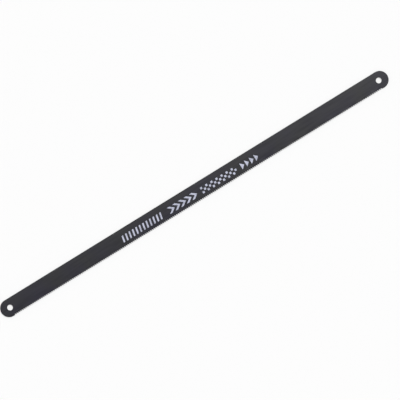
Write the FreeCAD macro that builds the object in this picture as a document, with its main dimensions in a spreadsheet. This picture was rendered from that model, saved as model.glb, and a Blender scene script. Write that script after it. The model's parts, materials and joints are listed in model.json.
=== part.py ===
"""Hand hacksaw blade: one strip of steel with a wavy-set row of fine teeth.

Frame: +X runs along the blade the way the teeth point, +Y runs to the back
edge, and +Z is up through the thickness. The origin lies under the middle of
the blade, on the plane that the set teeth rest on. Lengths are in millimetres.
"""
import FreeCAD, Part
import math
import os
import Sketcher
from FreeCAD import Vector

# Driving dimensions
SIZES = {
    "pin_spacing": "300",       # between the centres of the two pin holes
    "end_margin": "7",          # from a pin hole's centre to the blade's end
    "blade_width": "12.5",      # from the back edge to the tooth tips
    "blade_thick": "0.65",      # the steel strip
    "pin_hole": "4",            # diameter, an easy fit on the frame's pins
    "edge_round": "0.1",        # worn corner along the back and the ends
    "tooth_pitch": "1.411",     # eighteen teeth to the inch
    "tooth_height": "0.85",     # from the floor of a gullet to the tooth's tip
    "relief_angle": "36",       # the back of a tooth, against the line of tips
    "teeth_per_bend": "4",      # teeth that one bend of the wavy set carries
    "set_width": "1",           # the set row, measured from side to side
    "set_height": "2.2",        # the band above the tips that the set bends
    "plain_edge": "0.7",        # least toothless edge before each round end
}

# Sizes that follow from the driving ones
BEND_TEETH = "round(Sizes.teeth_per_bend)"
BEND_LENGTH = f"{BEND_TEETH} * Sizes.tooth_pitch"
STRAIGHT = "(Sizes.pin_spacing + 2 * Sizes.end_margin - Sizes.blade_width)"
BEND_COUNT = f"floor(({STRAIGHT} - 2 * Sizes.plain_edge) / ({BEND_LENGTH}))"
TOOTHED_LENGTH = f"{BEND_COUNT} * {BEND_LENGTH}"
SET_SWAY = "(Sizes.set_width - Sizes.blade_thick) / 2"
MID_HEIGHT = "Sizes.set_width / 2"

# What the points of a line or an arc are called, and the fixed axes
START, END, CENTRE = range(1, 4)
X_AXIS, Y_AXIS = range(-1, -3, -1)
ORIGIN = (X_AXIS, START)

UP = Vector(0, 0, 1)


def sizes_sheet(doc):
    """The sheet that holds every driving dimension."""
    sheet = doc.addObject("Spreadsheet::Sheet", "Sizes")
    for row, (name, value) in enumerate(SIZES.items(), start=1):
        sheet.set(f"A{row}", name)
        sheet.set(f"B{row}", value)
        sheet.setAlias(f"B{row}", name)
    doc.recompute()
    return sheet


def new_body(doc, name):
    """An empty body, whose own XY plane is the middle of the thickness."""
    body = doc.addObject("PartDesign::Body", name)
    body.setExpression("Placement.Base.z", MID_HEIGHT)
    return body


def new_sketch(body, name):
    """A sketch on the middle plane of a body."""
    planes = [f for f in body.Origin.OriginFeatures if f.Role == "XY_Plane"]
    sketch = body.newObject("Sketcher::SketchObject", name)
    sketch.AttachmentSupport = (planes[0], [""])
    sketch.MapMode = "FlatFace"
    return sketch


def join(sketch, kind, *pairs):
    """Join points of neighbouring elements, as a corner or as a tangent."""
    for first, first_end, second, second_end in pairs:
        sketch.addConstraint(
            Sketcher.Constraint(kind, first, first_end, second, second_end)
        )


def drive(sketch, name, bound, kind, *where):
    """A named dimension of a sketch, bound to the sheet."""
    value = float(sketch.evalExpression(bound))
    if kind == "Angle":
        value = math.radians(value)
    index = sketch.addConstraint(Sketcher.Constraint(kind, *where, value))
    sketch.renameConstraint(index, name)
    sketch.setExpression(f"Constraints.{name}", bound)


def line(x_from, y_from, x_to, y_to):
    """A straight sketch element."""
    return Part.LineSegment(Vector(x_from, y_from), Vector(x_to, y_to))


def arc(x, y, radius, angle_from, angle_to):
    """A round sketch element, turning anticlockwise between two angles."""
    circle = Part.Circle(Vector(x, y), UP, radius)
    return Part.ArcOfCircle(circle, angle_from, angle_to)


def pad(body, sketch, name, length):
    """A slab of a sketch's outline, to both sides of the middle plane."""
    feature = body.newObject("PartDesign::Pad", name)
    feature.Profile = sketch
    feature.SideType = "Symmetric"
    feature.setExpression("Length", length)
    return feature


def draw_outline(sketch, sheet):
    """Two round ends and straight edges, with a notch for the toothed row."""
    radius = sheet.blade_width / 2
    end = float(sheet.evalExpression(STRAIGHT)) / 2
    tooth_end = float(sheet.evalExpression(TOOTHED_LENGTH)) / 2
    root = sheet.set_height - radius
    quarter = math.pi / 2
    rear, rear_plain, rear_step, top, front_step, front_plain, front, back = (
        sketch.addGeometry(
            [
                arc(-end, 0, radius, quarter, 3 * quarter),
                line(-end, -radius, -tooth_end, -radius),
                line(-tooth_end, -radius, -tooth_end, root),
                line(-tooth_end, root, tooth_end, root),
                line(tooth_end, root, tooth_end, -radius),
                line(tooth_end, -radius, end, -radius),
                arc(end, 0, radius, -quarter, quarter),
                line(end, radius, -end, radius),
            ],
            False,
        )
    )
    join(
        sketch,
        "Tangent",
        (rear, END, rear_plain, START),
        (front_plain, END, front, START),
        (front, END, back, START),
        (back, END, rear, START),
    )
    join(
        sketch,
        "Coincident",
        (rear_plain, END, rear_step, START),
        (rear_step, END, top, START),
        (top, END, front_step, START),
        (front_step, END, front_plain, START),
    )
    for level in (rear_plain, front_plain, back):
        sketch.addConstraint(Sketcher.Constraint("Horizontal", level))
    for upright in (rear_step, front_step):
        sketch.addConstraint(Sketcher.Constraint("Vertical", upright))
    sketch.addConstraint(
        Sketcher.Constraint("Symmetric", rear, CENTRE, front, CENTRE, *ORIGIN)
    )
    sketch.addConstraint(Sketcher.Constraint("PointOnObject", front, CENTRE, X_AXIS))
    sketch.addConstraint(
        Sketcher.Constraint("Symmetric", top, START, top, END, Y_AXIS)
    )
    drive(sketch, "end_radius", "Sizes.blade_width / 2", "Radius", rear)
    drive(sketch, "straight", STRAIGHT, "DistanceX", rear, CENTRE, front, CENTRE)
    drive(sketch, "toothed", TOOTHED_LENGTH, "DistanceX", top, START, top, END)
    drive(
        sketch, "set_band", "Sizes.set_height", "DistanceY",
        rear_step, START, rear_step, END,
    )


def draw_pin_holes(sketch, sheet):
    """A round hole near each end, on the line through the blade's middle."""
    radius = sheet.pin_hole / 2
    half = sheet.pin_spacing / 2
    rear, front = sketch.addGeometry(
        [Part.Circle(Vector(x, 0), UP, radius) for x in (-half, half)], False
    )
    sketch.addConstraint(Sketcher.Constraint("Equal", rear, front))
    sketch.addConstraint(
        Sketcher.Constraint("Symmetric", rear, CENTRE, front, CENTRE, *ORIGIN)
    )
    sketch.addConstraint(Sketcher.Constraint("PointOnObject", front, CENTRE, X_AXIS))
    drive(sketch, "pin_hole", "Sizes.pin_hole", "Diameter", rear)
    drive(
        sketch, "pin_spacing", "Sizes.pin_spacing", "DistanceX",
        rear, CENTRE, front, CENTRE,
    )


def outer_corners(shape, width):
    """Names of the long corners of the back, the ends and the plain edges."""
    names = []
    for number, edge in enumerate(shape.Edges, start=1):
        middle = edge.valueAt((edge.FirstParameter + edge.LastParameter) / 2)
        level = edge.BoundBox.ZLength < Part.Precision.confusion()
        on_edge = math.isclose(abs(middle.y), width / 2)
        if level and (on_edge or isinstance(edge.Curve, Part.Circle)):
            names.append(f"Edge{number}")
    return names


def make_strip(doc, sheet):
    """The flat strip: its outline, its softened corners and its pin holes."""
    body = new_body(doc, "strip")
    outline = new_sketch(body, "outline")
    draw_outline(outline, sheet)
    slab = pad(body, outline, "slab", "Sizes.blade_thick")
    doc.recompute()
    corners = body.newObject("PartDesign::Fillet", "corners")
    corners.Base = (slab, outer_corners(slab.Shape, sheet.blade_width))
    corners.setExpression("Radius", "Sizes.edge_round")
    holes = new_sketch(body, "pin_hole_places")
    draw_pin_holes(holes, sheet)
    punched = body.newObject("PartDesign::Pocket", "pin_holes")
    punched.Profile = holes
    punched.Type = "ThroughAll"
    punched.SideType = "Symmetric"
    doc.recompute()
    return body


def draw_gullet(sketch, sheet):
    """One gullet: upright rake face, narrow floor and the next tooth's back.

    It starts at a tooth's tip on the rake side and ends at the next tip.
    """
    pitch = sheet.tooth_pitch
    height = sheet.tooth_height
    floor_end = pitch - height / math.tan(math.radians(sheet.relief_angle))
    rake, floor, back, tips = sketch.addGeometry(
        [
            line(0, 0, 0, height),
            line(0, height, floor_end, height),
            line(floor_end, height, pitch, 0),
            line(pitch, 0, 0, 0),
        ],
        False,
    )
    join(
        sketch,
        "Coincident",
        (rake, END, floor, START),
        (floor, END, back, START),
        (back, END, tips, START),
        (tips, END, rake, START),
        (rake, START, *ORIGIN),
    )
    sketch.addConstraint(Sketcher.Constraint("Vertical", rake))
    sketch.addConstraint(Sketcher.Constraint("Horizontal", floor))
    sketch.addConstraint(Sketcher.Constraint("Horizontal", tips))
    drive(sketch, "height", "Sizes.tooth_height", "DistanceY", rake, START, rake, END)
    drive(sketch, "pitch", "Sizes.tooth_pitch", "DistanceX", rake, START, back, END)
    drive(sketch, "relief", "Sizes.relief_angle", "Angle", back, END, tips, START)


def make_gullet_cutter(doc, sheet):
    """The cutter for one gullet, wide enough to pass through the set row."""
    body = new_body(doc, "gullet_cutter")
    body.setExpression("Placement.Base.y", "-Sizes.blade_width / 2")
    profile = new_sketch(body, "gullet")
    draw_gullet(profile, sheet)
    pad(body, profile, "cutter", "2 * Sizes.set_width")
    doc.recompute()
    return body


def quarter_wave(x_poles, crest_poles, y_root, y_tip):
    """The lower face of the band over a quarter wave, level where it starts.

    It is a parabola both ways: along the blade it meets the next quarter, and
    across the band it leaves the flat strip, without a crease.
    """
    surface = Part.BezierSurface()
    surface.increase(2, 2)
    y_poles = (y_root, (y_root + y_tip) / 2, y_tip)
    for i, (x, crest) in enumerate(zip(x_poles, crest_poles), start=1):
        for j, (y, z) in enumerate(zip(y_poles, (0, 0, crest)), start=1):
            surface.setPole(i, j, Vector(x, y, z))
    return surface.toShape()


def make_bend(sheet, cutter, sway):
    """One bend of the set with its teeth: half a wave, out to one side.

    The strip's lower face lies one sway above the plane that the set rests on.
    """
    teeth = round(sheet.teeth_per_bend)
    length = teeth * sheet.tooth_pitch
    y_tip = -sheet.blade_width / 2
    y_root = y_tip + sheet.set_height
    x_poles = [length * i / 4 for i in range(5)]
    rise = quarter_wave(x_poles[:3], (0, sway, sway), y_root, y_tip)
    fall = quarter_wave(x_poles[2:], (sway, sway, 0), y_root, y_tip)
    through = UP * sheet.blade_thick
    web = rise.extrude(through).fuse(fall.extrude(through))
    web.translate(UP * abs(sway))
    gullets = []
    for i in range(teeth):
        gullet = cutter.copy()
        gullet.translate(Vector(i * sheet.tooth_pitch, 0, 0))
        gullets.append(gullet)
    return web.cut(gullets).Solids[0]


def make_toothed_row(doc, sheet, cutter):
    """The whole row: bends to either side in turn, one after another."""
    sway = float(sheet.evalExpression(SET_SWAY))
    length = float(sheet.evalExpression(BEND_LENGTH))
    count = round(float(sheet.evalExpression(BEND_COUNT)))
    sides = [make_bend(sheet, cutter, side) for side in (-sway, sway)]
    bends = []
    for i in range(count):
        bend = sides[i % 2].copy()
        bend.translate(Vector((i - count / 2) * length, 0, 0))
        bends.append(bend)
    row = doc.addObject("Part::Feature", "toothed_row")
    row.Shape = bends[0].fuse(bends[1:]).Solids[0]
    return row


def make_blade(doc, strip, row):
    """The strip and its toothed row as the one piece of steel that they are."""
    blade = doc.addObject("Part::Fuse", "blade")
    blade.Base = strip
    blade.Tool = row
    blade.Label = "blade"
    return blade


def check(doc):
    """Stop on any feature that failed, and on any solid that isn't sound."""
    for item in doc.Objects:
        if "Invalid" in item.State or "Error" in item.State:
            raise RuntimeError(f"{item.Name} failed: {item.State}")
        shape = getattr(item, "Shape", None)
        if shape is not None and (shape.isNull() or not shape.isValid()):
            raise RuntimeError(f"{item.Name} has no sound shape")


def main():
    doc = FreeCAD.newDocument("hacksaw_blade")
    sheet = sizes_sheet(doc)
    strip = make_strip(doc, sheet)
    cutter = make_gullet_cutter(doc, sheet)
    row = make_toothed_row(doc, sheet, cutter.Shape)
    blade = make_blade(doc, strip, row)
    doc.recompute()
    check(doc)
    solids = blade.Shape.Solids
    if len(solids) != 1:
        raise RuntimeError(f"the blade is {len(solids)} solids, not one")
    os.makedirs("parts", exist_ok=True)
    blade.Shape.exportStep(f"parts/{blade.Label}.step")
    box = solids[0].optimalBoundingBox()
    print(f"{blade.Label}: {box.XLength:.2f} x {box.YLength:.2f} x {box.ZLength:.2f} mm")
    print(f"volume {solids[0].Volume:.1f} mm3, {len(solids[0].Faces)} faces")


main()
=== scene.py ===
# %% [markdown]
# A hacksaw blade, dressed for a product picture.
#
# The steel itself is already here when this script starts: one solid with
# rounded ends, two pin holes and a wavy row of teeth. It must not be moved or
# reshaped, so the lesson is about everything that is laid over it: the paint,
# the print on its face, the light, the floor and the camera.
#
# The blade lies flat. +X runs along it the way the teeth point, +Y runs from
# the teeth to the back edge, and +Z comes out of the printed face. Lengths are
# in metres, so small sizes are written as so many times MM.

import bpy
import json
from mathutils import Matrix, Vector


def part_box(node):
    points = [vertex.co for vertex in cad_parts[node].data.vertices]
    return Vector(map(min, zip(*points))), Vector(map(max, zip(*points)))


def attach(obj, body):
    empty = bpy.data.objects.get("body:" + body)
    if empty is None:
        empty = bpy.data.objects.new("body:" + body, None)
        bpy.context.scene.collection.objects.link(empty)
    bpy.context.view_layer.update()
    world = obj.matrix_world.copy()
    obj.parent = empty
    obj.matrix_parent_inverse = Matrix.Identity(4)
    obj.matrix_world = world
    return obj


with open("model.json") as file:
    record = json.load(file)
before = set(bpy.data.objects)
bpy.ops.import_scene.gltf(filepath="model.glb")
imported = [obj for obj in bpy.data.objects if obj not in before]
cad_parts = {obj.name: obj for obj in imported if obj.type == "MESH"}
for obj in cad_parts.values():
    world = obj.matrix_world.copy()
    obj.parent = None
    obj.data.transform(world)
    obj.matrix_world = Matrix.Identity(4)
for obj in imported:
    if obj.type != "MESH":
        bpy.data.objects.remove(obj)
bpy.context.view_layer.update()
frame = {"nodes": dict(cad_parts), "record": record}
print("pieces of steel:", sorted(frame["nodes"]))

# %% Bring in what the rest of the lesson uses
import json
import math

import bmesh
import bpy
from mathutils import Matrix, Vector

MM = 0.001
print("one millimetre is", MM, "of Blender's units")

# %% [markdown]
# Every later size hangs on a few places of the blade: the two pin holes, its
# middle and the level of its upper face. They could be typed in again, but
# then they would go wrong if the steel was changed. The record that came with
# the steel gives each hole's place and how deep it is, and a hole is as deep
# as the strip is thick, so half of that above the hole's middle is the face.

# %% Find the pin holes and the upper face
mounts = {mount["name"]: mount for mount in frame["record"]["mounts"]}
rear_hole = Vector(mounts["rear_pin_hole"]["pos_m"])
front_hole = Vector(mounts["front_pin_hole"]["pos_m"])
hole_radius = mounts["rear_pin_hole"]["dims"]["r_mm"] * MM
strip_thickness = mounts["rear_pin_hole"]["dims"]["length_mm"] * MM
face_level = rear_hole.z + strip_thickness / 2

blade_low, blade_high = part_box("blade")
blade_half_width = (blade_high.y - blade_low.y) / 2
round_end_centre = blade_high.x - blade_half_width
print(f"upper face at {face_level / MM:.3f} mm, holes {(front_hole - rear_hole).length / MM:.1f} mm apart")

# %% [markdown]
# The photograph was taken from straight above, with the blade turned in the
# picture so that it climbs to the right and both ends nearly touch the edges.
# A camera can be nudged until the picture looks right, but two marks of known
# place settle it at once. The middles of the pin holes are such marks. The
# line between them gives the turn, their distance gives the scale, and the
# picture's middle, measured from one of them, gives the point to look at.
#
# A long lens from about a metre keeps the view nearly parallel, as it is in
# the photograph.

# %% Place the camera by the two pin holes
PICTURE_SIDE_PX = 400
REAR_HOLE_PX = Vector((10.0, 307.6))
FRONT_HOLE_PX = Vector((378.75, 80.4))
LENS = 135
SENSOR = 36

holes_px = FRONT_HOLE_PX - REAR_HOLE_PX
metres_per_px = (front_hole - rear_hole).length / holes_px.length
along_px = holes_px.normalized()
back_edge_px = Vector((along_px.y, -along_px.x))
to_middle_px = Vector((PICTURE_SIDE_PX / 2, PICTURE_SIDE_PX / 2)) - REAR_HOLE_PX
look_x = rear_hole.x + to_middle_px.dot(along_px) * metres_per_px
look_y = rear_hole.y + to_middle_px.dot(back_edge_px) * metres_per_px
picture_side = PICTURE_SIDE_PX * metres_per_px
distance = picture_side * LENS / SENSOR

camera_data = bpy.data.cameras.new("camera")
camera_data.lens = LENS
camera_data.sensor_width = SENSOR
camera = bpy.data.objects.new("camera", camera_data)
camera.location = (look_x, look_y, face_level + distance)
camera.rotation_euler = (0, 0, math.atan2(along_px.y, along_px.x))
bpy.context.scene.collection.objects.link(camera)
bpy.context.scene.camera = camera
print(f"the picture is {picture_side / MM:.1f} mm wide, seen from {distance:.3f} m")
print(f"it is turned by {math.degrees(camera.rotation_euler.z):.2f} degrees")

# %% [markdown]
# Materials here are small graphs of nodes. Writing each node out takes three
# or four lines, so one helper makes a node, sets its choices and fills its
# inputs, either with a plain value or with another node's output. Two more
# do the same for sums and for mixed colours, whose inputs share their names
# and so have to be found in another way.

# %% Helpers for materials
def fill(tree, end, value):
    """Give an input a plain value, or a link from another node's output."""
    if isinstance(value, bpy.types.NodeSocket):
        tree.links.new(value, end)
    else:
        end.default_value = value


def add_node(tree, kind, inputs=None, **choices):
    """A new node, with values or links on the named inputs."""
    node = tree.nodes.new(kind)
    for choice, value in choices.items():
        setattr(node, choice, value)
    for name, value in (inputs or {}).items():
        fill(tree, node.inputs[name], value)
    return node


def number(tree, operation, first, second=0.0):
    """One sum on numbers or outputs."""
    node = add_node(tree, "ShaderNodeMath", operation=operation)
    for end, value in zip(node.inputs, (first, second)):
        fill(tree, end, value)
    return node.outputs["Value"]


def mix_colours(tree, share, first, second):
    """A colour between two others; share 0 gives the first."""
    node = add_node(tree, "ShaderNodeMix", data_type="RGBA")
    ends = {end.identifier: end for end in node.inputs}
    fill(tree, ends["Factor_Float"], share)
    fill(tree, ends["A_Color"], first)
    fill(tree, ends["B_Color"], second)
    return next(out for out in node.outputs if out.identifier == "Result_Color")


def new_finish(name):
    """An empty material with its tree and its Principled shader."""
    material = bpy.data.materials.new(name)
    material.use_nodes = True
    return material, material.node_tree, material.node_tree.nodes["Principled BSDF"]


print("helpers ready")

# %% [markdown]
# The floor stands for a sheet of white board. It lies at the level that the
# set teeth rest on, so the blade throws the same thin shadow as a real one
# that lies on paper.
#
# Blender has a ready-made plane too, but it is made by a button's command,
# which acts on whatever is selected. A grid of one square is the same mesh and
# depends on nothing else. It is so large that no view reaches its edge.

# %% Lay the floor
FLOOR_REACH = 4.0

floor_mesh = bpy.data.meshes.new("floor")
floor_build = bmesh.new()
bmesh.ops.create_grid(floor_build, x_segments=1, y_segments=1, size=FLOOR_REACH)
floor_build.to_mesh(floor_mesh)
floor_build.free()
floor = bpy.data.objects.new("floor", floor_mesh)
bpy.context.scene.collection.objects.link(floor)
print(f"floor of {2 * FLOOR_REACH:.0f} m by {2 * FLOOR_REACH:.0f} m")

# %% [markdown]
# Board that is lit at a plain level comes out a shade under white, and the
# photograph's ground is white to its corners. A stronger lamp would whiten the
# board, but it would bleach the blade as well. So the board glows instead, and
# only towards the camera and in reflections, which is what the Light Path node
# can tell apart. The light that the board sheds on the blade stays as it was,
# and because the glow is only mixed in, the blade's shadow still shows.

# %% Whiten the floor
FLOOR_WHITE = (0.96, 0.96, 0.96, 1)
FLOOR_LIFT = 0.55

floor_finish, floor_tree, floor_shader = new_finish("white_board")
floor_shader.inputs["Base Color"].default_value = FLOOR_WHITE
floor_shader.inputs["Roughness"].default_value = 1
floor_shader.inputs["Specular IOR Level"].default_value = 0
floor_mesh.materials.append(floor_finish)

ray = add_node(floor_tree, "ShaderNodeLightPath").outputs
seen = number(floor_tree, "MAXIMUM", ray["Is Camera Ray"], ray["Is Glossy Ray"])
seen = number(floor_tree, "MAXIMUM", seen, ray["Is Transmission Ray"])
glow = add_node(floor_tree, "ShaderNodeEmission", {"Color": (1, 1, 1, 1), "Strength": 1.0})
lifted = add_node(
    floor_tree,
    "ShaderNodeMixShader",
    {"Fac": number(floor_tree, "MULTIPLY", seen, FLOOR_LIFT)},
)
floor_tree.links.new(floor_shader.outputs["BSDF"], lifted.inputs[1])
floor_tree.links.new(glow.outputs["Emission"], lifted.inputs[2])
floor_tree.links.new(lifted.outputs["Shader"], floor_tree.nodes["Material Output"].inputs["Surface"])
print(f"the glow makes up {FLOOR_LIFT:.0%} of what the camera sees of the board")

# %% [markdown]
# A dark satin thing is lit by what it mirrors as much as by what falls on it.
# Seen from above, a flat blade mirrors what is overhead. In a room that is
# white all over, its whole face would turn grey, so this room is white round
# its walls and dim overhead.
#
# Walls and a ceiling could be built and lit. A world whose strength falls
# with height does the same, and no wall can come between the blade and a
# camera that looks from the side.

# %% Light the room
WALL_STRENGTH = 1.0
CEILING_STRENGTH = 0.22
WALL_TOP = math.sin(math.radians(12))
CEILING_EDGE = math.sin(math.radians(38))

room = bpy.data.worlds.new("room")
room.use_nodes = True
room_tree = room.node_tree
direction = add_node(room_tree, "ShaderNodeTexCoord").outputs["Generated"]
height = add_node(room_tree, "ShaderNodeSeparateXYZ", {"Vector": direction}).outputs["Z"]
strength = add_node(
    room_tree,
    "ShaderNodeMapRange",
    {
        "Value": height,
        "From Min": WALL_TOP,
        "From Max": CEILING_EDGE,
        "To Min": WALL_STRENGTH,
        "To Max": CEILING_STRENGTH,
    },
    interpolation_type="SMOOTHSTEP",
)
background = room_tree.nodes["Background"]
background.inputs["Color"].default_value = (1, 1, 1, 1)
room_tree.links.new(strength.outputs["Result"], background.inputs["Strength"])
bpy.context.scene.world = room
print(f"room: {WALL_STRENGTH} at the walls, {CEILING_STRENGTH} overhead")

# %% [markdown]
# In the photograph the blade gets lighter towards its right end, which is the
# soft edge of a lamp's reflection. An area lamp close by would do that too, but
# it would also light the near end more. A sun lamp lights both ends alike, and
# a wide angle makes it as soft as a big lamp that stands far off.
#
# Its share is what the room leaves over. Room and lamp together light a level
# white surface at a strength of about 1, at which a colour renders as it is
# written, so the lamp is made stronger by as much as its tilt weakens it.

# %% Hang the soft lamp
LAMP_TILT = math.radians(33)
LAMP_TURN = math.radians(20)
LAMP_WIDTH = math.radians(24)
LAMP_SHARE = 0.64

lamp_data = bpy.data.lights.new("soft_lamp", "SUN")
lamp_data.energy = LAMP_SHARE * math.pi / math.cos(LAMP_TILT)
lamp_data.angle = LAMP_WIDTH
lamp = bpy.data.objects.new("soft_lamp", lamp_data)
towards_lamp = Vector(
    (
        math.sin(LAMP_TILT) * math.cos(LAMP_TURN),
        math.sin(LAMP_TILT) * math.sin(LAMP_TURN),
        math.cos(LAMP_TILT),
    )
)
lamp.rotation_euler = towards_lamp.to_track_quat("Z", "Y").to_euler()
bpy.context.scene.collection.objects.link(lamp)
print(f"lamp {math.degrees(LAMP_TILT):.0f} degrees off straight down, from the front end")

# %% [markdown]
# Blender's usual view treats light as film does, and shows white as a pale
# grey. The Standard view shows every colour as it is, which a picture on a
# white ground needs.

# %% Choose the view of colours
bpy.context.scene.view_settings.view_transform = "Standard"
print("view:", bpy.context.scene.view_settings.view_transform)

# %% [markdown]
# The whole blade, teeth included, carries one thin coat of charcoal paint.
# It is satin, a little blue, and never quite even. It dries in faint clouds,
# the ground steel under it shows through as a grain along the blade, its skin
# is finely dimpled like orange peel, and it runs thin over sharp corners, where
# its paler grey also stands for a painted sheen.
#
# One flat colour would look like plastic. A painted picture could show all of
# this, but it would stop at the seams. Here the pattern is worked out from
# each point's place on the blade, so it runs over faces, edges and teeth alike.
#
# Clouds, grain and dimples are all noise, of different sizes. Noise gives every
# point a value near a half, and seldom one outside the two values below, so
# a pattern fades from nothing to full between those two.

# %% Helpers for patterns
NOISE_LOW, NOISE_HIGH = 0.35, 0.65


def noise(tree, where, scale, detail):
    """Soft spots over a piece, about so many to the metre."""
    inputs = {"Vector": where, "Scale": scale, "Detail": detail}
    return add_node(tree, "ShaderNodeTexNoise", inputs).outputs["Fac"]


def fade(tree, value, nothing_at=NOISE_LOW, full_at=NOISE_HIGH):
    """A share that grows from 0 to 1 between two values."""
    inputs = {"Value": value, "From Min": nothing_at, "From Max": full_at}
    node = add_node(tree, "ShaderNodeMapRange", inputs, interpolation_type="SMOOTHSTEP")
    return node.outputs["Result"]


def between(tree, share, low, high):
    """A number between two others; share 0 gives the low one."""
    inputs = {"Value": share, "To Min": low, "To Max": high}
    return add_node(tree, "ShaderNodeMapRange", inputs).outputs["Result"]


def flat_distance(tree, x, y):
    """How far a point is from a centre, by its distances along X and along Y."""
    squares = number(tree, "ADD", number(tree, "POWER", x, 2), number(tree, "POWER", y, 2))
    return number(tree, "SQRT", squares)


print("noise stays mostly between", NOISE_LOW, "and", NOISE_HIGH)

# %% [markdown]
# The grain needs one step more than the other two. Its noise is squeezed: the
# scale across the blade is many times the scale along it, and so its spots
# become long streaks.

# %% Paint: clouds, grain and dimples
CLOUD_SCALE = 42
GRAIN_ALONG = 60
GRAIN_ACROSS = 2200
PEEL_SCALE = 3600

paint, paint_tree, paint_shader = new_finish("charcoal_paint")
place = add_node(paint_tree, "ShaderNodeTexCoord").outputs["Object"]
squeezed = add_node(
    paint_tree,
    "ShaderNodeMapping",
    {"Vector": place, "Scale": (GRAIN_ALONG, GRAIN_ACROSS, GRAIN_ACROSS)},
).outputs["Vector"]
clouds = fade(paint_tree, noise(paint_tree, place, CLOUD_SCALE, detail=3))
grain = fade(paint_tree, noise(paint_tree, squeezed, 1, detail=4))
peel = fade(paint_tree, noise(paint_tree, place, PEEL_SCALE, detail=2))
print(f"clouds of about {1 / CLOUD_SCALE / MM:.0f} mm")
print(f"streaks of about {1 / GRAIN_ALONG / MM:.0f} by {1 / GRAIN_ACROSS / MM:.2f} mm")
print(f"dimples of about {1 / PEEL_SCALE / MM:.2f} mm")

# %% [markdown]
# Where the paint is thin can be worked out too, and the same measure gives the
# edges and the holes' rims a painted sheen. The blade's outline is a straight
# strip with round ends, so the distance from a line down its middle tells how
# close a point is to the edge. The line stops at the centres of the round ends.
# Past them only what lies beyond counts, which bends the measure round the end.
# Each pin hole needs only the distance from its own centre.

# %% Paint: thin paint and painted sheen at the edges and round the holes
EDGE_BAND = 0.35 * MM
HOLE_BAND = 0.3 * MM

parts_of_place = add_node(paint_tree, "ShaderNodeSeparateXYZ", {"Vector": place}).outputs
x_from_middle = number(paint_tree, "ABSOLUTE", parts_of_place["X"])
past_end = number(paint_tree, "SUBTRACT", x_from_middle, round_end_centre)
past_end = number(paint_tree, "MAXIMUM", past_end, 0)
past_hole = number(paint_tree, "SUBTRACT", x_from_middle, front_hole.x)
from_spine = flat_distance(paint_tree, past_end, parts_of_place["Y"])
from_hole = flat_distance(paint_tree, past_hole, parts_of_place["Y"])
# Near every edge and round each hole the colour turns paler: partly thin paint, partly a painted sheen.
edge_thin_and_sheen = fade(paint_tree, from_spine, blade_half_width - EDGE_BAND, blade_half_width)
hole_thin_and_sheen = fade(paint_tree, from_hole, hole_radius + HOLE_BAND, hole_radius)
thin_and_sheen = number(paint_tree, "MAXIMUM", edge_thin_and_sheen, hole_thin_and_sheen)
print(f"thin paint over the last {EDGE_BAND / MM:.2f} mm of every edge")

# %% [markdown]
# Three mixes make the colour. The clouds choose between a cool and a plain
# charcoal, the grain darkens the streaks between its ridges, and a paler grey
# comes in at the edges, partly as thin paint and partly as a painted sheen. In
# the photograph the back half of the face is a shade lighter than the half
# beside the teeth, so the share of that grey also grows across the blade, and
# the face comes out lighter towards the back edge than beside the teeth.

# %% Paint: the colour
CHARCOAL_COOL = (0.026, 0.025, 0.038, 1)
CHARCOAL_PLAIN = (0.030, 0.030, 0.032, 1)
STREAK_DARK = (0.015, 0.015, 0.020, 1)
STREAK_SHARE = 0.5
PALE_CHARCOAL = (0.045, 0.045, 0.048, 1)
EDGE_GREY_SHARE = 0.5
BACK_SHARE = 0.35

streaks = between(paint_tree, grain, STREAK_SHARE, 0)
# Across the whole face the colour is lighter towards the back edge and darker beside the teeth.
towards_back = fade(paint_tree, parts_of_place["Y"], -blade_half_width, blade_half_width)
lighter_towards_back = between(paint_tree, towards_back, 0, BACK_SHARE)
greyed = between(paint_tree, thin_and_sheen, lighter_towards_back, EDGE_GREY_SHARE)
coat = mix_colours(paint_tree, clouds, CHARCOAL_COOL, CHARCOAL_PLAIN)
coat = mix_colours(paint_tree, streaks, coat, STREAK_DARK)
coat = mix_colours(paint_tree, greyed, coat, PALE_CHARCOAL)
paint_tree.links.new(coat, paint_shader.inputs["Base Color"])
print("charcoal mixed")

# %% [markdown]
# Even gloss gives a computer picture away. Here the grain makes some streaks
# rougher than others, and two bump nodes in a row, one for the grain and one
# for the dimples, turn the reflections a little. A bump's distance is the real
# height of the pattern, so it is only a few thousandths of a millimetre. None of
# this shows in the whole picture, but a near view needs it to look like painted
# steel.

# %% Paint: gloss and relief
SHINE = 0.30
GLOSS_FROM, GLOSS_TO = 0.33, 0.50
GRAIN_RELIEF = 0.0015 * MM
PEEL_RELIEF = 0.0015 * MM

grain_relief = add_node(paint_tree, "ShaderNodeBump", {"Height": grain, "Distance": GRAIN_RELIEF})
relief = add_node(
    paint_tree,
    "ShaderNodeBump",
    {"Height": peel, "Distance": PEEL_RELIEF, "Normal": grain_relief.outputs["Normal"]},
)
paint_tree.links.new(between(paint_tree, grain, GLOSS_FROM, GLOSS_TO), paint_shader.inputs["Roughness"])
paint_tree.links.new(relief.outputs["Normal"], paint_shader.inputs["Normal"])
paint_shader.inputs["Specular IOR Level"].default_value = SHINE

steel = frame["nodes"]["blade"]
steel.data.materials.clear()
steel.data.materials.append(paint)
print("painted", steel.name, "with", len(paint_tree.nodes), "nodes")

# %% [markdown]
# The print on the blade's face is pale screen ink, in four groups along the
# middle: leaning bars, arrow heads that show which way the blade cuts, small
# checks and wedges.
#
# Its finish comes first. A screen leaves pores in the ink, and in patches the
# pores run together, so that the charcoal under it shows. Both are noise again,
# and their product is strong only where a pore lies in such a patch. Ink dries
# duller than the paint round it.

# %% Ink: the finish
INK_PALE = (0.57, 0.59, 0.72, 1)
INK_WORN = (0.20, 0.21, 0.27, 1)
INK_SHINE = 0.3
INK_GLOSS_FROM, INK_GLOSS_TO = 0.58, 0.72
INK_RELIEF = 0.0015 * MM
PORE_SCALE = 3000
PATCH_SCALE = 260

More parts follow.
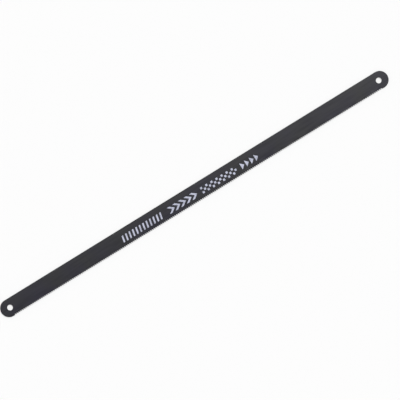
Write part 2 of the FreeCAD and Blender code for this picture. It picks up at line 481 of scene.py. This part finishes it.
ink_finish, ink_tree, ink_shader = new_finish("pale_ink")
ink_place = add_node(ink_tree, "ShaderNodeTexCoord").outputs["Object"]
pores = fade(ink_tree, noise(ink_tree, ink_place, PORE_SCALE, detail=2))
patches = fade(ink_tree, noise(ink_tree, ink_place, PATCH_SCALE, detail=3))
worn = number(ink_tree, "MULTIPLY", number(ink_tree, "POWER", pores, 2), patches)
ink_relief = add_node(ink_tree, "ShaderNodeBump", {"Height": pores, "Distance": INK_RELIEF})
ink_gloss = between(ink_tree, pores, INK_GLOSS_FROM, INK_GLOSS_TO)
ink_tree.links.new(mix_colours(ink_tree, worn, INK_PALE, INK_WORN), ink_shader.inputs["Base Color"])
ink_tree.links.new(ink_gloss, ink_shader.inputs["Roughness"])
ink_tree.links.new(ink_relief.outputs["Normal"], ink_shader.inputs["Normal"])
ink_shader.inputs["Specular IOR Level"].default_value = INK_SHINE
print(f"pores of about {1 / PORE_SCALE / MM:.2f} mm, in patches of about {1 / PATCH_SCALE / MM:.0f} mm")

# %% [markdown]
# Now the shapes. They could be part of the paint's graph, but each of them
# would then need its own sums. As thin solids they are easy to draw and to
# read.
#
# Every mark starts as a flat shape round the origin. Each kind of mark has its
# own short function, which draws it and returns its corners, because moving
# the corners is what moves the mark. All four kinds begin as one rectangle: a
# grid of a single square, scaled. The grid can have two rows, one above the
# other, for a mark that bends at its middle.

# %% Ink: a flat rectangle
MARK_HEIGHT = 4.8 * MM


def draw_oblong(ink, width, height, rows=1):
    """A flat rectangle round the origin; returns its corners."""
    grid = bmesh.ops.create_grid(ink, x_segments=1, y_segments=rows, size=0.5)
    bmesh.ops.scale(ink, verts=grid["verts"], vec=(width, height, 1))
    return grid["verts"]


print(f"marks are {MARK_HEIGHT / MM:.1f} mm high")

# %% [markdown]
# A bar leans a little towards the front. Its corners could be moved one by
# one, but a shear says what is meant: each point goes along X by a share of
# its height. What the lean adds to the width is taken off the bar first, so
# that the gaps in a row stay as wide as they are asked to be.

# %% Ink: a leaning bar
LEAN = 0.2


def draw_bar(ink, width):
    """A leaning bar."""
    corners = draw_oblong(ink, width - MARK_HEIGHT * LEAN, MARK_HEIGHT)
    bmesh.ops.transform(ink, matrix=Matrix.Shear("XZ", 4, (LEAN, 0)), verts=corners)
    return corners


print(f"a bar's top is {LEAN * MARK_HEIGHT / MM:.2f} mm ahead of its foot")

# %% [markdown]
# An arrow head could be one half that is drawn and mirrored. It is less work
# to start from a rectangle of two rows and push the two points between them
# forward. The edge between the rows is then dissolved, or the bevel that
# rounds the corners later would cut into it too.

# %% Ink: an arrow head
ARROW_WIDTH = 2.0 * MM


def draw_arrow(ink, width):
    """An arrow head: an upright rectangle whose middle is pushed forward."""
    corners = draw_oblong(ink, ARROW_WIDTH, MARK_HEIGHT, rows=2)
    middle = [corner for corner in corners if abs(corner.co.y) < MARK_HEIGHT / 4]
    reach = width - ARROW_WIDTH
    bmesh.ops.translate(ink, verts=corners, vec=(-reach / 2, 0, 0))
    bmesh.ops.translate(ink, verts=middle, vec=(reach, 0, 0))
    bmesh.ops.dissolve_edges(ink, edges=[ink.edges.get(middle)])
    return corners


print(f"an arrow head's arms are {ARROW_WIDTH / MM:.1f} mm wide along the blade")

# %% [markdown]
# A chequer of small squares looks grey from afar, as small print does. Two of
# its columns are one mark: three squares in a zigzag, one at the front and two
# behind it. Marks in a row then carry the chequer on.

# %% Ink: a piece of chequer
CHECK_SIDE = 1.5 * MM


def draw_checks(ink, width):
    """Three squares in a zigzag: the filled half of a small chequer."""
    corners = []
    across = (width - CHECK_SIDE) / 2
    up = (MARK_HEIGHT - CHECK_SIDE) / 2
    for row, column in ((-1, -1), (0, 1), (1, -1)):
        square = draw_oblong(ink, CHECK_SIDE, CHECK_SIDE)
        bmesh.ops.translate(ink, verts=square, vec=(column * across, row * up, 0))
        corners += square
    return corners


print(f"checks are {CHECK_SIDE / MM:.1f} mm square")

# %% [markdown]
# A wedge is the rectangle with its two front corners drawn together into one
# point, so it points the way the blade cuts.

# %% Ink: a wedge
def draw_wedge(ink, width):
    """A wedge that points to the front: a rectangle with one side drawn together."""
    corners = draw_oblong(ink, width, MARK_HEIGHT)
    front = [corner for corner in corners if corner.co.x > 0]
    bmesh.ops.pointmerge(ink, verts=front, merge_co=(width / 2, 0, 0))
    return [corner for corner in corners if corner.is_valid]


print("four kinds of mark can be drawn")

# %% [markdown]
# Wet ink draws itself together, so no corner of a print is sharp. A bevel on
# the points of a flat shape rounds its corners, and it is done before the
# shape gets its thickness, while each corner is still one point.
#
# For the thickness all faces are extruded, and the first ones are kept as the
# underside, so each mark is closed. A mark lies a little into the steel, so
# that no gap can open under it, and stands proud by about what ink does.

# %% Ink: round corners and thickness
MARK_ROUND = 0.22 * MM
ROUND_STEPS = 3
INK_TOP = face_level + 0.02 * MM
INK_BOTTOM = face_level - 0.01 * MM


def round_corners(ink):
    """Round each corner of flat marks."""
    bmesh.ops.bevel(
        ink,
        geom=[corner for corner in ink.verts if corner.is_boundary],
        offset=MARK_ROUND,
        offset_type="OFFSET",
        segments=ROUND_STEPS,
        profile=0.5,
        affect="VERTICES",
        material=-1,
    )


def thicken(ink):
    """Make flat marks into closed solids as thick as ink."""
    raised = bmesh.ops.extrude_face_region(ink, geom=ink.faces[:], use_keep_orig=True)["geom"]
    top = [item for item in raised if isinstance(item, bmesh.types.BMVert)]
    bmesh.ops.translate(ink, verts=top, vec=(0, 0, INK_TOP - INK_BOTTOM))
    bmesh.ops.recalc_face_normals(ink, faces=ink.faces[:])


print(f"ink stands {(INK_TOP - face_level) / MM:.2f} mm proud of the paint")

# %% [markdown]
# A script ought to make the same file every time. The bevel makes the same
# points each time, but their order depends on the computer's memory. Sorting
# them by place settles it. A sort wants one number for each point, and how
# far the point lies along a slanting direction is one that no two share.

# %% Ink: put the points in order
SLANT = Vector((1, math.sqrt(2), math.sqrt(3)))


def put_in_order(ink):
    """Number the points, edges and faces by their places."""
    ink.verts.sort(key=lambda point: point.co.dot(SLANT))
    ink.edges.sort(key=lambda edge: sum(point.co.dot(SLANT) for point in edge.verts))
    ink.faces.sort(key=lambda face: face.calc_center_median().dot(SLANT))


print("the order goes along", [round(share, 2) for share in SLANT])

# %% [markdown]
# The four groups lie in a row, a little nearer the teeth than the back. Each
# runs between two places along the blade, and its marks share that length
# evenly. A group could be made of objects, one for each mark. As one mesh it
# is lighter, and it rides on the blade as a single piece.
#
# The gap between arrow heads is less than nothing, because each tip reaches
# into the one ahead of it.

# %% Ink: print the four groups
PRINT_Y = -0.7 * MM


def print_group(name, draw_mark, start, end, count, gap):
    """A row of equal marks between two places along the blade."""
    ink = bmesh.new()
    pitch = (end - start + gap) / count
    width = pitch - gap
    for place_in_row in range(count):
        corners = draw_mark(ink, width)
        middle = start + place_in_row * pitch + width / 2
        bmesh.ops.translate(ink, verts=corners, vec=(middle, PRINT_Y, INK_BOTTOM))
    round_corners(ink)
    thicken(ink)
    put_in_order(ink)
    mesh = bpy.data.meshes.new(name)
    ink.to_mesh(mesh)
    ink.free()
    mesh.materials.append(ink_finish)
    group = bpy.data.objects.new(name, mesh)
    bpy.context.scene.collection.objects.link(group)
    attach(group, "root")
    print(name, count, "marks of", round(width / MM, 2), "mm,", len(mesh.polygons), "faces")


print_group("print_bars", draw_bar, start=-59.2 * MM, end=-26.6 * MM, count=12, gap=0.66 * MM)
print_group("print_arrows", draw_arrow, start=-21.6 * MM, end=1.8 * MM, count=5, gap=-0.6 * MM)
print_group("print_checks", draw_checks, start=5.4 * MM, end=33.8 * MM, count=7, gap=0.57 * MM)
print_group("print_wedges", draw_wedge, start=37.5 * MM, end=51.4 * MM, count=4, gap=1.1 * MM)
